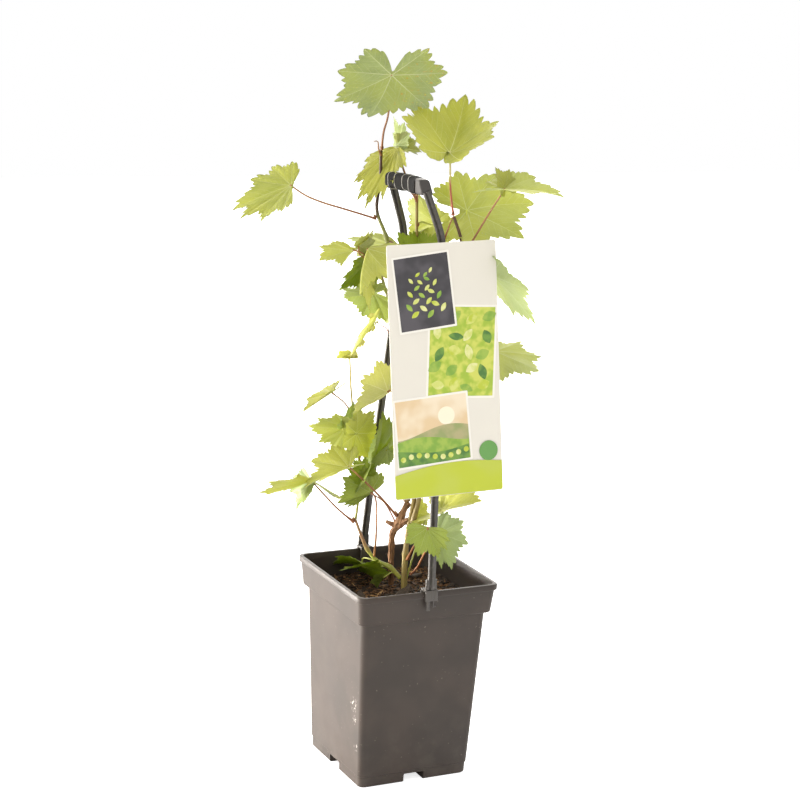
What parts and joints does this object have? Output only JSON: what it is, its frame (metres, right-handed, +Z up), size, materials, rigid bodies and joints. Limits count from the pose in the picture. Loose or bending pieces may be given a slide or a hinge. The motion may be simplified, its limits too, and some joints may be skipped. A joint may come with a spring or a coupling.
{
  "type": "potted grapevine",
  "caption": "Young pot-grown grapevine with three canes and lobed leaves in a square black container, with a clip-on carrying handle and a picture card.",
  "frame": {"origin": "centre of the pot's flat underside", "axes": "+Z up; the handle's front clip and the picture card are on the -Y side, its back clip on the +Y rim"},
  "size_m": [0.2772, 0.2371, 0.705],
  "materials": {
    "pot": "satin",
    "compost": "matte",
    "handle": "satin",
    "card": "gloss",
    "bark": "matte",
    "cane": "satin",
    "leaf": "satin"
  },
  "bodies": {
    "root": {"pot": "pot", "soil": "compost", "handle_clip_front": "handle", "handle_clip_back": "handle", "handle_leg_front": "handle", "handle_leg_back": "handle", "handle_grip": "handle", "picture_card": "card", "old_stem": "bark", "old_stub": "bark", "cane_middle": "cane", "cane_left": "cane", "cane_right": "cane", "low_shoot": "cane", "low_shoot_tip": "cane", "side_shoot": "cane", "young_shoot": "cane", "tendril_stem": "cane", "leafstalk_top": "cane", "leafstalk_far_left": "cane", "leafstalk_upper_right": "cane", "leafstalk_right": "cane", "leafstalk_right_back": "cane", "leafstalk_long_left": "cane", "leafstalk_drooping": "cane", "leafstalk_front": "cane", "leafstalk_front_right": "cane", "foliage_top": "leaf", "foliage_upper_right": "leaf", "foliage_hooked": "leaf", "foliage_far_left": "leaf", "foliage_right_back": "leaf", "foliage_right_tip": "leaf", "foliage_behind_handle": "leaf", "foliage_behind_card": "leaf", "foliage_left_young": "leaf", "foliage_left_folded": "leaf", "foliage_left_shaded": "leaf", "foliage_left_lower": "leaf", "foliage_mid_left": "leaf", "foliage_edge_left": "leaf", "foliage_spread_left": "leaf", "foliage_inner_left": "leaf", "foliage_inner_back": "leaf", "foliage_long_left": "leaf", "foliage_drooping_left": "leaf", "foliage_outer_left": "leaf", "foliage_low_left": "leaf", "foliage_right_middle": "leaf", "foliage_right_low": "leaf", "foliage_under_card": "leaf", "foliage_front_low": "leaf", "foliage_front_right": "leaf", "foliage_inner_low": "leaf", "foliage_soil_left": "leaf", "foliage_soil_front": "leaf", "foliage_back_high": "leaf", "foliage_back_middle": "leaf", "foliage_back_right": "leaf"}
  },
  "joints": []
}
